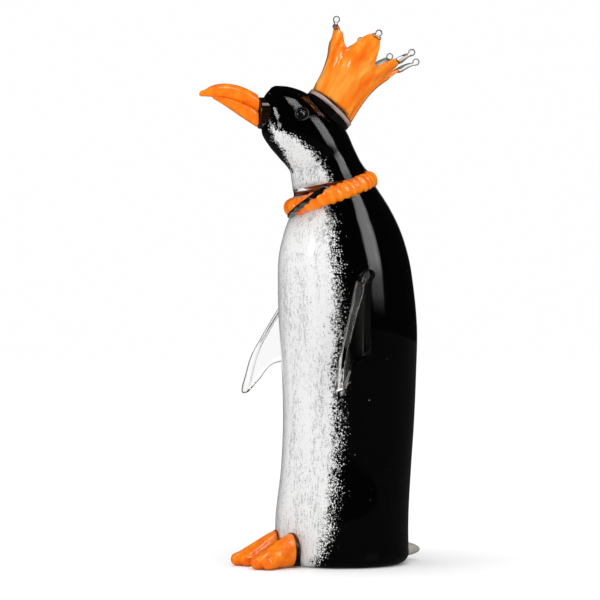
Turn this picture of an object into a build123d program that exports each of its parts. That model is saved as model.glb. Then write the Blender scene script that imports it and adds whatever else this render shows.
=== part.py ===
# Standing penguin in hot-worked glass, looking up, with a flared crown and a ribbed collar.
# Body and head are black cores with a layer of white crushed glass down the front, and both
# are cased in a clear gather. Every other bit was stuck on hot, each on its own small seat.
# Front is -Y, the penguin's left is +X, up is +Z, and the origin is the middle of the flat base.
from build123d import *
from math import cos, pi, radians, sin
import os

# ---- torso, millimetres ----
torso_height = 221.3  # flat base to the lower face of the neck seam
torso_radius = 41.4  # at the flippers, where it is fullest
torso_sway = 4.4  # how far the small of the back stands behind the base
base_round = 7.5  # rolled edge round the ground base
casing_wall = 3.2  # clear gather over the cores
frit_wall = 0.9  # rolled-on crushed glass
bib_half_angle = 60.0  # white front, each side of the middle

# ---- neck seam and head ----
neck_radius = 25.2
neck_forward = 5.4  # the neck stands this far in front of the middle of the base
neck_lean = 10.0  # the seam tips forward
head_turn = 15.0  # the head looks to the penguin's right
seam_height = 6.5
seam_waist = 0.5  # how much narrower the seam is half way up
head_radius = 22.2
head_rise = 57.0  # seam to the top of the dome
head_reach = 36.1  # how far the dome leans out over the seam

# ---- eyes ----
eye_radius = 3.9
eye_stand = 1.6  # how far each bead stands out of the head
eye_forward = 23.2
eye_rise = 39.6
eye_side = 20.0  # surface of the head beside the eye
eye_lift = 18.0  # the bead faces a little up
eye_ring_radius = 4.6
eye_ring_tube = 0.9

# ---- bill ----
bill_length = 36.0
bill_lift = 13.2  # the tip is this much higher than the root
bill_root_height = 19.2
bill_root_width = 14.6
bill_forward = 45.5  # plane where the orange begins
bill_rise = 42.0
bill_joint_radius = 9.4
bill_joint_drop = 0.9  # the seat sits this much lower than the bill
bill_joint_round = 1.2
bill_tip_radius = 2.0

# ---- collar ----
collar_outer_radius = 29.4
collar_height = 10.8
collar_depth = 9.6  # from its outside into the neck
collar_lean = 20.5
collar_forward = 2.4  # it hangs forward of the neck by this much
collar_drop = 0.2  # its middle lies this far under the top of the torso
collar_ribs = 35
rib_depth = 1.1
thread_width = 3.4
thread_depth = 1.5
thread_slope = 15.0
thread_angle = 37.0  # round the neck from the front, to the penguin's left

# ---- crown ----
crown_base_radius = 15.2
crown_height = 51.0
crown_flare = 34.5  # where the wall would end if it went on up to the crown's height
crown_wall = 2.6
crown_floor = 12.0
crown_seat_lean = 41.7
crown_lean = 31.5
crown_forward = 1.1
crown_rise = 45.2
crown_joint_height = 3.5
crown_joint_lip = 0.7
notch_half_width = 0.8
tip_bead_radius = 2.2
seat_casing = 1.4  # clear glass left over the core under the crown

# ---- flippers ----
flipper_reach = 38.5
flipper_top = 178.0
flipper_tip_rise = 98.0
flipper_root_width = 14.0
flipper_angle = 75.0  # its root, round the body from the front
flipper_swing = 53.0  # the blade points this far forward of straight out to the side

# ---- feet ----
foot_angle = 15.0
foot_toe_out = 7.5
foot_length = 29.0
instep_height = 21.0
instep_width = 13.0
toe_radius = 4.0
toe_fan = 16.0
foot_joint_wall = 1.6

# ---- tail ----
tail_length = 13.0
tail_root_height = 10.0
tail_root_width = 13.0
tail_rise = 6.6
tail_joint_length = 2.2


def disc(place, radius):
    """A circle whose seam lies at the back."""
    return place * Rot(0, 0, 90) * Circle(radius)


def oval(place, half_width, half_height):
    return place * Ellipse(half_width, half_height)


def polar(radius, turn):
    """Point on a circle, turned from the front towards the penguin's left."""
    return (radius * sin(radians(turn)), -radius * cos(radians(turn)))


def rim(radius, start, end):
    return ThreePointArc(polar(radius, start), polar(radius, (start + end) / 2), polar(radius, end))


def ring_sector(place, low, far, half_angle):
    """Part of a flat ring, the same angle to each side of the front."""
    near_edge = Line(polar(far, half_angle), polar(low, half_angle))
    far_edge = Line(polar(low, -half_angle), polar(far, -half_angle))
    outline = rim(far, -half_angle, half_angle) + near_edge + rim(low, half_angle, -half_angle) + far_edge
    return place * make_face(outline)


def front_face(place, radius, half_angle):
    """Section of the space in front of a core, from under the crushed glass outwards."""
    return ring_sector(place, radius - frit_wall, radius + casing_wall, half_angle)


def full_face(place, radius, half_angle):
    return disc(place, radius)


# ---- torso: shares of the height, of the sway, of the radius and of the bib's half angle ----
torso_shares = [
    (0, 0, 0.966, 0.7),
    (0.05, -0.1, 0.965, 0.9),
    (0.12, -0.1, 0.964, 0.98),
    (0.25, 0.5, 0.943, 1),
    (0.38, 0.92, 0.95, 1),
    (0.51, 1, 0.972, 0.97),
    (0.64, 0.84, 1, 1.02),
    (0.737, 0.52, 0.985, 1.03),
    (0.835, 0.14, 0.934, 1.03),
]
# Near the shoulders the sections tip and move forward under the neck:
# shares of the height, of the way forward, of the radius, of the lean and of the half angle.
shoulder_shares = [(0.9, 0.1, 0.838, 0.25, 1), (0.952, 0.42, 0.722, 0.6, 0.93)]
neck_bib_share = 0.88
torso_rows = []
for rise, sway, wide, turn in torso_shares:
    place = Pos(0, sway * torso_sway, rise * torso_height)
    torso_rows.append((place, wide * torso_radius, turn * bib_half_angle))
for rise, ahead, wide, lean, turn in shoulder_shares:
    place = Pos(0, -ahead * neck_forward, rise * torso_height) * Rot(lean * neck_lean, 0, 0)
    torso_rows.append((place, wide * torso_radius, turn * bib_half_angle))
neck_place = Pos(0, -neck_forward, torso_height) * Rot(0, 0, -head_turn) * Rot(neck_lean, 0, 0)
seam_bottom = neck_place * Rot(0, 0, head_turn)
torso_rows.append((seam_bottom, neck_radius, neck_bib_share * bib_half_angle))


def stack(rows, face, inset):
    return loft([face(place, radius - inset, half_angle) for place, radius, half_angle in rows])


def base_cutter(inset):
    """What is ground away round the base: everything outside its rolled edge."""
    radius = torso_shares[0][2] * torso_radius - inset
    roll = base_round - inset
    far = radius + base_round
    inner = (radius - roll, 0)
    outer = (radius, roll)
    arc = JernArc(inner, (1, 0), roll, 90)
    outline = arc + Polyline(outer, (far, roll), (far, -roll), (radius - roll, -roll), inner)
    return revolve(Plane.XZ * make_face(outline), Axis.Z)


torso_outer = stack(torso_rows, full_face, 0) - base_cutter(0)
torso_inside = stack(torso_rows, full_face, casing_wall) - base_cutter(casing_wall)
torso_front = stack(torso_rows, front_face, casing_wall)
belly_frit = torso_inside & torso_front
torso_core = torso_inside - torso_front
torso_casing = torso_outer - torso_inside

# ---- neck seam ----
seam_top = neck_place * Pos(0, 0, seam_height)
head_root_share = 1.094
seam_radii = [neck_radius, (neck_radius + head_root_share * head_radius) / 2 - seam_waist]
seam_radii.append(head_root_share * head_radius)
seam_rises = [0, seam_height / 2, seam_height]
neck_joint = loft([disc(neck_place * Pos(0, 0, z), r) for z, r in zip(seam_rises, seam_radii)])

# ---- head: shares of the reach, of the rise and of the radius, lean in degrees, bib half angle,
# and the share by which a layer follows the dome in instead of the side walls ----
head_shares = [
    (0, 0, head_root_share, neck_lean, 84, 0),
    (0.093, 0.11, 0.986, 12, 84, 0),
    (0.192, 0.251, 0.924, 20, 83, 0),
    (0.331, 0.389, 0.981, 21.4, 80, 0),
    (0.497, 0.528, 1, 23, 68, 0),
    (0.667, 0.664, 0.924, 25, 45, 0.1),
    (0.757, 0.77, 0.762, 25.3, 28, 0.3),
]
dome_shares = [
    (0.757, 0.77, 0.762, 25.3, 28, 0.3),
    (0.871, 0.875, 0.575, 25, 28, 0.6),
    (0.956, 0.948, 0.35, 25, 28, 0.85),
    (1, 1, 0.07, 25, 28, 1),
]
head_place = seam_top * Rot(-neck_lean, 0, 0)


def head_rows(shares, inset):
    rows = []
    for ahead, rise, wide, lean, half_angle, top in shares:
        place = head_place * Pos(0, -ahead * head_reach, rise * head_rise) * Rot(lean, 0, 0)
        radius = wide * head_radius
        radius -= inset * (1 - top) + inset * top * wide
        rows.append((place * Pos(0, 0, -inset * top), radius, half_angle))
    return rows


def head_layer(inset):
    return stack(head_rows(head_shares + dome_shares[1:], inset), full_face, 0)


head_full = head_layer(0)
head_inside = head_layer(casing_wall)
head_front = stack(head_rows(head_shares, casing_wall), front_face, 0)

# The crown was pressed onto the hot head and left a flat there.
crown_seat = head_place * Pos(0, -crown_forward, crown_rise) * Rot(-crown_seat_lean, 0, 0)
head_flat = crown_seat * Pos(0, 0, -crown_joint_height)


def below(body, place):
    return split(body, bisect_by=Plane(place), keep=Keep.BOTTOM)


head_outer = below(head_full, head_flat)
head_inside = below(head_inside, head_flat * Pos(0, 0, -seat_casing))
throat_frit = head_inside & head_front
head_core = head_inside - head_front


# ---- eyes: beads pressed in, each with the ring that it pushed up ----
def eye_place(side):
    spot = Pos(side * eye_side, -eye_forward, eye_rise)
    return head_place * spot * Rot(0, side * (90 - eye_lift), 0)


head_casing = head_outer
for side in (1, -1):
    head_casing += eye_place(side) * Torus(eye_ring_radius, eye_ring_tube)
eyes = []
for side in (1, -1):
    bead = eye_place(side) * Pos(0, 0, eye_stand - eye_radius) * Sphere(eye_radius)
    head_casing -= bead
    eyes.append(bead - head_inside)
head_casing -= head_inside

# ---- bill: a clear seat on the face, then two orange bits pinched out to a point ----
bill_place = head_place * Pos(0, -bill_forward, bill_rise) * Rot(90, 0, 0)
joint_back = bill_place * Pos(0, -bill_joint_drop, -bill_joint_radius)
bill_joint = joint_back * Cylinder(
    bill_joint_radius, bill_joint_radius, align=(Align.CENTER, Align.CENTER, Align.MIN))
bill_joint = fillet(bill_joint.edges().filter_by(GeomType.CIRCLE).sort_by(Axis(bill_place.position, bill_place.z_axis.direction))[-1], bill_joint_round)
bill_joint -= head_outer
# Shares of the length, of the lift, of half the root's height and of half its width.
upper_shares = [
    (0, 0.3, 0.6, 1),
    (0.15, 0.56, 0.56, 0.97),
    (0.37, 0.79, 0.54, 0.88),
    (0.59, 0.9, 0.47, 0.72),
    (0.8, 0.87, 0.33, 0.5),
    (0.93, 0.79, 0.18, 0.22),
]
lower_shares = [
    (0, -0.33, 0.56, 0.86),
    (0.15, -0.08, 0.56, 0.84),
    (0.35, 0.2, 0.46, 0.7),
    (0.57, 0.48, 0.3, 0.5),
    (0.77, 0.68, 0.15, 0.28),
]


def bill_bit(shares):
    faces = []
    for out, lift, high, wide in shares:
        place = bill_place * Pos(0, lift * bill_lift, out * bill_length)
        faces.append(oval(place, wide * bill_root_width / 2, high * bill_root_height / 2))
    return loft(faces)


upper_bill = bill_bit(upper_shares)
tip_out, tip_lift = upper_shares[-1][0] * bill_length, upper_shares[-1][1] * bill_lift
upper_bill += bill_place * Pos(0, tip_lift, tip_out) * Sphere(bill_tip_radius)
lower_bill = bill_bit(lower_shares) - upper_bill

# ---- collar: a ribbed orange cane wound round the neck, with a black thread laid across it ----
collar_place = neck_place * Rot(-neck_lean, 0, 0) * Pos(0, -collar_forward, -collar_drop) * Rot(collar_lean, 0, 0)
rib_turn = 360 / collar_ribs


def collar_slice(turn, inset):
    """Section through the cane, turned round the neck."""
    middle = collar_outer_radius - collar_depth / 2 - inset / 2
    place = collar_place * Rot(0, 0, turn) * Pos(middle, 0, 0) * Rot(90, 0, 0)
    return oval(place, (collar_depth - inset) / 2, (collar_height - inset) / 2)


rib = loft([collar_slice(-rib_turn / 2, rib_depth), collar_slice(0, 0), collar_slice(rib_turn / 2, rib_depth)])
ribs = [Rot(0, 0, i * rib_turn) * (collar_place.inverse() * rib) for i in range(collar_ribs)]
ring = collar_place * (ribs[0] + ribs[1:])
ring -= torso_outer
ring -= neck_joint
ring -= head_outer
core_width = collar_depth - 2 * thread_depth
core_height = collar_height - 2 * thread_depth
core_section = Pos(collar_outer_radius - collar_depth / 2, 0, 0) * Rot(90, 0, 0) * Ellipse(core_width / 2, core_height / 2)
ring_core = collar_place * revolve(core_section, Axis.Z)
thread_place = collar_place * Rot(0, 0, thread_angle) * Pos(0, -collar_outer_radius, 0) * Rot(0, -thread_slope, 0)
thread_band = thread_place * Box(2 * collar_outer_radius, collar_outer_radius, thread_width)
collar_thread = ((ring & thread_band) - ring_core).solids().sort_by(SortBy.VOLUME)[-1]
collar = ring - collar_thread

# ---- crown: clear seat, orange cup drawn out into points, clear ends with beads ----
crown_joint_radius = crown_base_radius + crown_joint_lip
crown_joint = head_flat * Pos(0, 0, -crown_joint_radius / 2) * Cylinder(
    crown_joint_radius, crown_joint_radius / 2 + crown_joint_height, align=(Align.CENTER, Align.CENTER, Align.MIN))
crown_joint -= head_outer
crown_place = crown_seat * Rot(crown_seat_lean - crown_lean, 0, 0)
# Wall of the cup up to its rim: shares of the height, and of the way from the base's radius to the
# flare's.
cup_shares = [(-0.1, 0), (0.14, 0), (0.31, 0.03), (0.51, 0.15), (0.64, 0.3)]
crown_widening = crown_flare - crown_base_radius
cup_outer = [(crown_base_radius + w * crown_widening, h * crown_height) for h, w in cup_shares]
rim_radius, rim_rise = cup_outer[-1]
hollow_shares = [(0.28, 0.5), (0.4, 0.85)]
cup_inner = [(0, crown_floor)]
cup_inner += [(s * (crown_base_radius - crown_wall), h * crown_height) for h, s in hollow_shares]
cup_inner += [(r - crown_wall, z) for r, z in cup_outer[3:]]
outer_line = Spline(cup_outer)
inner_line = Spline(cup_inner, tangents=[(1, 0), (1, 1)])
cup_outline = outer_line + Line(outer_line @ 1, inner_line @ 1) + inner_line
cup_outline += Polyline(inner_line @ 0, (0, cup_outer[0][1]), cup_outer[0])
crown_cup = crown_place * revolve(Plane.XZ * make_face(cup_outline), Axis.Z)
crown_cup = split(crown_cup, bisect_by=Plane(crown_seat), keep=Keep.TOP)

# Each point: degrees from the penguin's left towards the back, shares of the flare's radius where
# its bead is and of the height where the bead is and the orange ends, and its kind of taper.
point_shares = [
    (-74, 0.81, 0.885, 0.79, 0),
    (-5, 0.76, 0.95, 0.9, 1),
    (48, 0.88, 0.995, 0.83, 2),
    (93, 0.92, 1.015, 0.8, 2),
    (140, 0.86, 0.98, 0.76, 2),
    (190, 0.53, 0.93, 0.76, 3),
]
# Along a point, from the rim to its bead: the way, and for each kind of taper the width.
taper_way_share = [0, 0.3, 0.62, 0.87, 1]
taper_shares = [
    (1, 0.56, 0.42, 0.22, 0),
    (1, 0.8, 0.58, 0.23, 0),
    (1, 0.5, 0.17, 0.06, 0),
    (1, 0.5, 0.2, 0.1, 0),
]
taper_wall_share = [1, 1, 0.95, 0.9, 0.8]
end_width_share = 0.65
curl_share = 1.25


def crown_point(start, turn, end, reach, rise, widths):
    """One point, drawn up from its stretch of the rim and narrowed towards its bead."""
    gap = notch_half_width / rim_radius
    root_half = radians(end - start) / 2 - gap
    faces = []
    for way, width, thick in zip(taper_way_share, widths, taper_wall_share):
        radius = rim_radius + (reach - rim_radius) * way ** curl_share
        half = end_width_share * tip_bead_radius / radius * (1 - width) + root_half * width
        middle = (start + end) / 2 * width + turn * (1 - width)
        place = crown_place * Pos(0, 0, rim_rise + (rise - rim_rise) * way) * Rot(0, 0, middle + 90)
        faces.append(ring_sector(place, radius - thick * crown_wall, radius, half * 180 / pi))
    return loft(faces)


turns = [row[0] for row in point_shares]
turns = [turns[-1] - 360] + turns + [turns[0] + 360]
tips = []
for row, before, after in zip(point_shares, turns, turns[2:]):
    turn, reach, rise = row[0], row[1] * crown_flare, row[2] * crown_height
    point = crown_point((before + turn) / 2, turn, (turn + after) / 2, reach, rise, taper_shares[row[4]])
    orange_end = Plane(crown_place * Pos(0, 0, row[3] * crown_height))
    crown_cup += split(point, bisect_by=orange_end, keep=Keep.BOTTOM)
    bead_place = crown_place * Rot(0, 0, turn) * Pos(reach - crown_wall / 2, 0, rise)
    tips.append(split(point, bisect_by=orange_end, keep=Keep.TOP) + bead_place * Sphere(tip_bead_radius))
crown_tips = Compound(children=[solid for tip in tips for solid in tip.solids()])

# ---- flippers: shares of the reach, of the drop for the upper and the lower edge, of the root's width ----
flipper_shares = [
    (-0.16, 0.975, 0.35, 1),
    (0.08, 0.95, 0.294, 0.86),
    (0.23, 0.825, 0.281, 0.6),
    (0.44, 0.675, 0.262, 0.42),
    (0.65, 0.51, 0.156, 0.35),
    (0.81, 0.375, 0.044, 0.31),
    (0.935, 0.16, 0, 0.29),
    (1, 0.085, 0.03, 0.17),
]


def flipper(side):
    drop = flipper_top - flipper_tip_rise
    root = Rot(0, 0, side * flipper_angle) * Pos(0, -torso_radius, 0) * Rot(0, 0, -side * flipper_angle)
    blade = Pos(0, torso_sway, 0) * root * Rot(0, 0, side * (90 - flipper_swing))
    faces = []
    for out, high, low, wide in flipper_shares:
        middle = flipper_tip_rise + (high + low) / 2 * drop
        place = blade * Pos(0, -out * flipper_reach, middle) * Rot(90, 0, 0)
        faces.append(oval(place, wide * flipper_root_width / 2, (high - low) / 2 * drop))
    return loft(faces) - torso_outer


# ---- feet: three toes pinched side by side out of one orange bit, on a dark pad ----
base_radius = torso_shares[0][2] * torso_radius
# Shares of the foot's length, of the instep's height, of its width and of its height again.
toe_shares = [
    (-0.2, 0.5, 0.46, 0.48),
    (0.07, 0.49, 0.44, 0.47),
    (0.35, 0.4, 0.37, 0.37),
    (0.62, 0.29, 0.33, 0.27),
]


def toe(place, length):
    faces = []
    for out, rise, wide, high in toe_shares:
        spot = place * Pos(0, -out * length, rise * instep_height) * Rot(90, 0, 0)
        faces.append(oval(spot, wide * instep_width, high * instep_height))
    ball = place * Pos(0, toe_radius - length, toe_radius) * Rot(90, 0, 0)
    faces.append(disc(ball, toe_radius))
    return loft(faces) + ball * Sphere(toe_radius)


def foot_place(side):
    return Rot(0, 0, side * foot_angle) * Pos(0, -base_radius, 0) * Rot(0, 0, side * (foot_toe_out - foot_angle))


floor_block = Box(4 * torso_radius, 4 * torso_radius, torso_radius, align=(Align.CENTER, Align.CENTER, Align.MAX))
side_toe_share = 0.9


def foot_joint(side):
    rise, wide, high = toe_shares[0][1:]
    back = foot_place(side) * Pos(0, base_round, rise * instep_height) * Rot(90, 0, 0)
    pad = extrude(oval(back, wide * instep_width + foot_joint_wall / 2, high * instep_height), base_round + foot_joint_wall)
    return pad - torso_outer


def foot(side):
    place = foot_place(side)
    body = toe(place, foot_length)
    for turn in (-toe_fan, toe_fan):
        body += toe(place * Rot(0, 0, turn), side_toe_share * foot_length)
    body = split(body, bisect_by=Plane(place * Pos(0, -foot_joint_wall, 0) * Rot(90, 0, 0)), keep=Keep.TOP)
    return body - floor_block


# ---- tail: a clear stub on a dark ring ----
tail_place = Pos(0, base_radius, tail_rise) * Rot(-90, 0, 0)
tail_shares = [(0, 0.92, 0.94), (0.45, 0.77, 0.74), (0.82, 0.48, 0.46), (1, 0.2, 0.2)]
tail_out = tail_length - tail_joint_length
tail_faces = [
    oval(tail_place * Pos(0, 0, tail_joint_length + out * tail_out), wide * tail_root_width / 2, high * tail_root_height / 2)
    for out, wide, high in tail_shares
]
tail_joint = extrude(
    oval(tail_place * Pos(0, 0, -base_round), tail_root_width / 2, tail_root_height / 2),
    base_round + tail_joint_length)
tail_joint -= torso_outer
tail = loft(tail_faces)

pieces = {
    "torso_core": torso_core,
    "belly_frit": belly_frit,
    "torso_casing": torso_casing,
    "neck_joint": neck_joint,
    "head_core": head_core,
    "throat_frit": throat_frit,
    "head_casing": head_casing,
    "eye_left": eyes[0],
    "eye_right": eyes[1],
    "bill_joint": bill_joint,
    "upper_bill": upper_bill,
    "lower_bill": lower_bill,
    "collar": collar,
    "collar_thread": collar_thread,
    "crown_joint": crown_joint,
    "crown_cup": crown_cup,
    "crown_tips": crown_tips,
    "flipper_left": flipper(1),
    "flipper_right": flipper(-1),
    "foot_joint_left": foot_joint(1),
    "foot_joint_right": foot_joint(-1),
    "foot_left": foot(1),
    "foot_right": foot(-1),
    "tail_joint": tail_joint,
    "tail": tail,
}
os.makedirs("parts", exist_ok=True)
for name, piece in pieces.items():
    export_step(piece, f"parts/{name}.step")
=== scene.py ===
# %% [markdown]
# # A hot-worked glass penguin
# The figure was made at the torch, piece by piece. Body and head are black glass with crushed
# white glass rolled on in front, and a clear gather over both. The bill, the collar, the crown and
# the feet are orange glass. Everything here is in metres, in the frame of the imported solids.
# The solids are loaded first. They stay as they are, and new glass is modelled over them.

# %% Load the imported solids
import bpy
from math import cos, pi, radians, sin, tan
from mathutils import Matrix, Vector


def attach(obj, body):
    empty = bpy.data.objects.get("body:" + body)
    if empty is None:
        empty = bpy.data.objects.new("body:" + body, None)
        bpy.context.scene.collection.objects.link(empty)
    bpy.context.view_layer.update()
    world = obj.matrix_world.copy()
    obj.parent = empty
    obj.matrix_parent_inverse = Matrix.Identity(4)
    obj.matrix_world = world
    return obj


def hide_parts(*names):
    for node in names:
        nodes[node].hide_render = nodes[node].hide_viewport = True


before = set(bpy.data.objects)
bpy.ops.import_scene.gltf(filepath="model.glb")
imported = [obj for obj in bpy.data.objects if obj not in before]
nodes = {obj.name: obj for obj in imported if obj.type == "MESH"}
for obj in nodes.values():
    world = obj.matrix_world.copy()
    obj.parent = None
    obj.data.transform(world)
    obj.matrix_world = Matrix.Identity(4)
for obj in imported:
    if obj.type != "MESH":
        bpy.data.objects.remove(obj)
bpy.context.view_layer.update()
MM = 0.001

# %% [markdown]
# ## Camera
# The picture was taken from the figure's left and a little from the front, level, with a long
# lens. The image is 600 by 600, and one picture element is about 0.6 mm at the figure's axis.
# A camera could be fitted by a solver, but here its place is given: the direction comes from the
# turn of the feet and the bill, the distance from how the base and the shoulders shrink.

# %% Place the camera
view_turn = radians(63.0)
camera_distance, focal_length = 1.584, 158.5
aim_aside, aim_height = -0.0255, 0.1576
towards_camera = Vector((sin(view_turn), -cos(view_turn), 0))
camera_right = Vector((cos(view_turn), sin(view_turn), 0))
lens_data = bpy.data.cameras.new("Camera")
lens_data.sensor_width = 36
lens_data.lens = focal_length
camera = bpy.data.objects.new("Camera", lens_data)
bpy.context.collection.objects.link(camera)
aim = camera_right * aim_aside + Vector((0, 0, aim_height))
camera.location = aim + towards_camera * camera_distance
camera.rotation_euler = (-towards_camera).to_track_quat("-Z", "Y").to_euler()
bpy.context.scene.camera = camera
print("camera at", [round(v, 3) for v in camera.location])

# %% [markdown]
# ## Node helpers
# Every finish here is a small tree of nodes. The helpers add a node, set or link its inputs by
# name and give back the output that is used next, so that each finish reads like a short recipe.

# %% Node helpers
def set_inputs(node, values):
    """Links those of the values that are sockets, and sets the others directly."""
    for name, value in values.items():
        if isinstance(value, bpy.types.NodeSocket):
            node.id_data.links.new(value, node.inputs[name])
        else:
            node.inputs[name].default_value = value


def new_node(tree, kind, place, inputs=None, **settings):
    node = tree.nodes.new(kind)
    node.location = place
    for name, value in settings.items():
        setattr(node, name, value)
    set_inputs(node, inputs or {})
    return node


def new_material(name, inputs):
    """A node material with its tree and its Principled surface."""
    material = bpy.data.materials.new(name)
    material.use_nodes = True
    surface = material.node_tree.nodes["Principled BSDF"]
    set_inputs(surface, inputs)
    return material, material.node_tree, surface


def number(tree, operation, place, a, b=None, c=None, clamp=False):
    """A Math node on sockets or plain numbers."""
    given = {i: value for i, value in enumerate((a, b, c)) if value is not None}
    return new_node(tree, "ShaderNodeMath", place, given, operation=operation, use_clamp=clamp).outputs[0]


def fade(tree, place, value, start, end, low=0.0, high=1.0):
    """Goes softly from low to high while the value goes from start to end."""
    return new_node(tree, "ShaderNodeMapRange", place, {
        "Value": value, "From Min": start, "From Max": end, "To Min": low, "To Max": high},
        interpolation_type="SMOOTHSTEP").outputs["Result"]


def mixed(tree, place, factor, a, b, **settings):
    """A colour between two, each of them a socket or an RGB value."""
    a, b = ((*given, 1) if isinstance(given, tuple) else given for given in (a, b))
    return new_node(
        tree, "ShaderNodeMix", place, {"Factor": factor, "A": a, "B": b},
        data_type="RGBA", **settings).outputs["Result"]


def ramp(tree, place, value, stops):
    """A colour ramp through stops, each a share and an RGB colour."""
    node = new_node(tree, "ShaderNodeValToRGB", place, {"Fac": value})
    elements = node.color_ramp.elements
    for element, (at, colour) in zip(elements, (stops[0], stops[-1])):
        element.position, element.color = at, (*colour, 1)
    for at, colour in stops[1:-1]:
        elements.new(at).color = (*colour, 1)
    return node.outputs["Color"]


def grain(tree, place, coordinates, scale, detail=2.0, stretch=None):
    """Noise on given coordinates, drawn out along them where a stretch is given."""
    if stretch:
        coordinates = new_node(
            tree, "ShaderNodeMapping", (place[0] - 200, place[1]),
            {"Vector": coordinates, "Scale": stretch}).outputs["Vector"]
    return new_node(
        tree, "ShaderNodeTexNoise", place,
        {"Vector": coordinates, "Scale": scale, "Detail": detail}).outputs["Fac"]


def bumped(tree, height, strength, distance):
    """The normal of a surface that a height makes uneven."""
    return new_node(
        tree, "ShaderNodeBump", (-300, -200),
        {"Strength": strength, "Distance": distance, "Height": height}).outputs["Normal"]


def object_place(tree):
    return new_node(tree, "ShaderNodeTexCoord", (-2200, 0)).outputs["Object"]


def local_place(tree, where, frame_matrix):
    """Object coordinates as measured in a turned and shifted frame."""
    return new_node(
        tree, "ShaderNodeMapping", (-2000, 0),
        {"Vector": where, "Location": frame_matrix.translation, "Rotation": frame_matrix.to_euler()},
        vector_type="TEXTURE").outputs["Vector"]


print("node helpers ready")

# %% [markdown]
# ## Studio
# Glass shows what surrounds it. The pale room lights the white and orange glass, and everything
# that the black glass mirrors is dark, apart from a few soft lamps that draw the long streaks.
# One evenly white room would turn black glass grey, so the room is told apart by the kind of ray:
# what is seen directly is white, what is seen through glass is white in front of and behind the
# figure and greyer at the sides, which draws dark rims, and what is mirrored is nearly black. The
# white under the clear gather gets more light, which stands for what the gather would collect.

# %% Room
under_glass_light, mirrored_light, side_light = 1.62, 0.01, 0.6
room = bpy.data.worlds.new("Room")
room.use_nodes = True
bpy.context.scene.world = room
tree = room.node_tree
tree.nodes.clear()
ray = new_node(tree, "ShaderNodeLightPath", (-900, 300)).outputs
way = new_node(tree, "ShaderNodeTexCoord", (-900, -100)).outputs["Generated"]
towards_back = new_node(
    tree, "ShaderNodeVectorMath", (-700, -100), {0: way, 1: -towards_camera}, operation="DOT_PRODUCT")
across_room = number(tree, "ABSOLUTE", (-620, -250), towards_back.outputs["Value"])
behind = fade(tree, (-500, -100), across_room, 0.35, 0.9, side_light, 1.0)
past_core = number(tree, "GREATER_THAN", (-500, 150), ray["Diffuse Depth"], 0.5)
under_glass = number(tree, "MULTIPLY", (-420, 150), past_core, under_glass_light)
through = number(tree, "MAXIMUM", (-350, 50), behind, under_glass)
strength = 1.0
for flag, value, place in (
        ("Is Glossy Ray", mirrored_light, (-200, 300)), ("Is Transmission Ray", through, (-50, 300)),
        ("Is Camera Ray", 1.0, (100, 300))):
    strength = new_node(
        tree, "ShaderNodeMix", place, {0: ray[flag], 2: strength, 3: value}, data_type="FLOAT").outputs[0]
glow = new_node(
    tree, "ShaderNodeBackground", (250, 200), {"Color": (0.995, 0.995, 0.995, 1), "Strength": strength})
new_node(tree, "ShaderNodeOutputWorld", (450, 200), {"Surface": glow.outputs[0]})
bpy.context.scene.view_settings.view_transform = "Standard"
print("room made")

# %% [markdown]
# Soft boxes stood to the right of the camera and behind it, and their mirror images run down the
# neck and the back. They are area lamps here, and a node tree lets each fade towards its edges.

# %% Lamps
lamp_aim = Vector((0, 0, 0.17))


def soften_edges(data):
    """Lets a panel fade towards its edges, so its mirror image in the glass has no hard outline."""
    data.use_nodes = True
    tree = data.node_tree
    spot = new_node(tree, "ShaderNodeNewGeometry", (-900, 0)).outputs["Parametric"]
    split = new_node(tree, "ShaderNodeSeparateXYZ", (-700, 0), {"Vector": spot})
    fades = []
    for row, (axis, reach) in enumerate((("X", 0.22), ("Y", 0.3))):
        off = number(tree, "SUBTRACT", (-500, -200 * row), split.outputs[axis], 0.5)
        off = number(tree, "ABSOLUTE", (-350, -200 * row), off)
        fades.append(fade(tree, (-150, -200 * row), off, 0.5, 0.5 - reach))
    set_inputs(tree.nodes["Emission"], {"Strength": number(tree, "MULTIPLY", (50, 0), *fades)})


def lamp(name, turn, rise, distance, wide, high, brightness, card=False):
    """A soft panel, turned round the figure from the camera towards the camera's right. A card only
    shows as a reflection and sheds no light."""
    data = bpy.data.lights.new(name, "AREA")
    data.shape = "RECTANGLE"
    data.size, data.size_y = wide, high
    data.energy = brightness * pi * wide * high
    panel = bpy.data.objects.new(name, data)
    bpy.context.collection.objects.link(panel)
    way = Matrix.Rotation(radians(turn), 3, "Z") @ towards_camera
    panel.location = way * distance + Vector((0, 0, rise))
    panel.rotation_euler = (lamp_aim - panel.location).to_track_quat("-Z", "Y").to_euler()
    panel.visible_diffuse = not card
    soften_edges(data)


# Turn in degrees, then rise, distance, width and height in metres, and brightness.
lamp("Strip", 54, 0.92, 1.3, 0.8, 1.7, 3.6, card=True)
lamp("Strip_edge", 60, 0.92, 1.25, 0.02, 1.4, 4.5)
lamp("Window", -62, 0.62, 1.3, 0.34, 0.4, 8.0)
lamp("Overhead", 10, 1.3, 0.5, 0.6, 0.6, 4.0)
lamp("Far_side", 165, 0.5, 1.4, 0.3, 0.5, 0.3)
print("five lamps")

# %% [markdown]
# The figure stands on white acrylic, which mirrors it faintly close by and runs into the white
# behind without a horizon. One wide sheet does that. It glows a little, which hides the horizon,
# and it is dark for mirrored rays, so that the black glass stays black down to the ground.

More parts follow.
